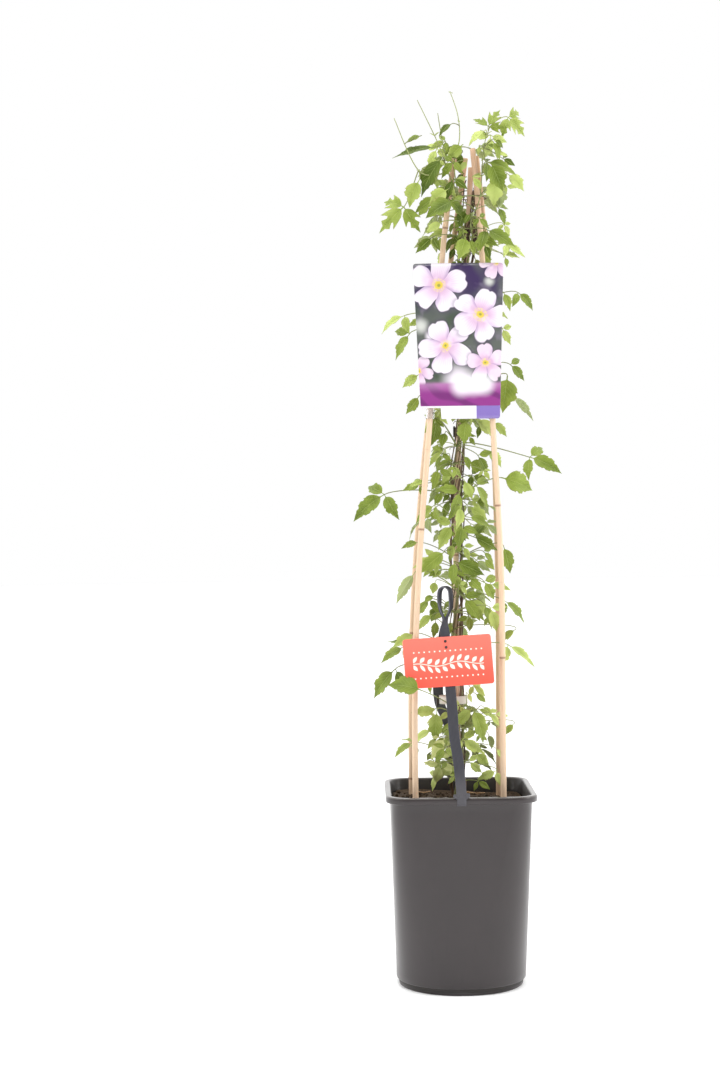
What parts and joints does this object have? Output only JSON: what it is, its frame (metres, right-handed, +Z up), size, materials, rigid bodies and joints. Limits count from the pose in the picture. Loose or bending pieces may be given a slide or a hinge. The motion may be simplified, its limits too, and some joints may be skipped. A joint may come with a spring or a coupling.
{
  "type": "potted climbing clematis",
  "caption": "Young climbing clematis in a square-topped plastic pot, wound up bamboo canes, with carry strap, hanging card and picture label.",
  "frame": {"origin": "centre of the pot's flat underside", "axes": "+Z up, -Y to the front, where the labels face, +X to the right seen from the front"},
  "size_m": [0.2831, 0.2062, 1.2202],
  "materials": {
    "pot_plastic": "semi-matte moulded, a little dusty",
    "compost": "moist, crumbly",
    "bamboo": "smooth cane skin, satin",
    "foliage": "soft satin leaf",
    "strap_plastic": "satin band",
    "card": "smooth coated card",
    "label": "laminated print",
    "clear_plastic": "milky and flexible",
    "dark_plastic": "satin"
  },
  "bodies": {
    "root": {"pot": "pot_plastic", "soil": "compost", "cane_centre": "bamboo", "cane_front_left": "bamboo", "cane_front_right": "bamboo", "cane_back_left": "bamboo", "cane_back_right": "bamboo", "clematis_lower": "foliage", "clematis_middle": "foliage", "clematis_upper": "foliage", "clematis_top": "foliage", "carry_strap": "strap_plastic", "hang_card": "card", "card_stud_1": "dark_plastic", "card_stud_2": "dark_plastic", "picture_label": "label", "label_sleeve": "clear_plastic", "stem_band": "clear_plastic", "band_buckle": "dark_plastic", "stem_clip": "dark_plastic", "cane_tie_ring": "dark_plastic"}
  },
  "joints": []
}
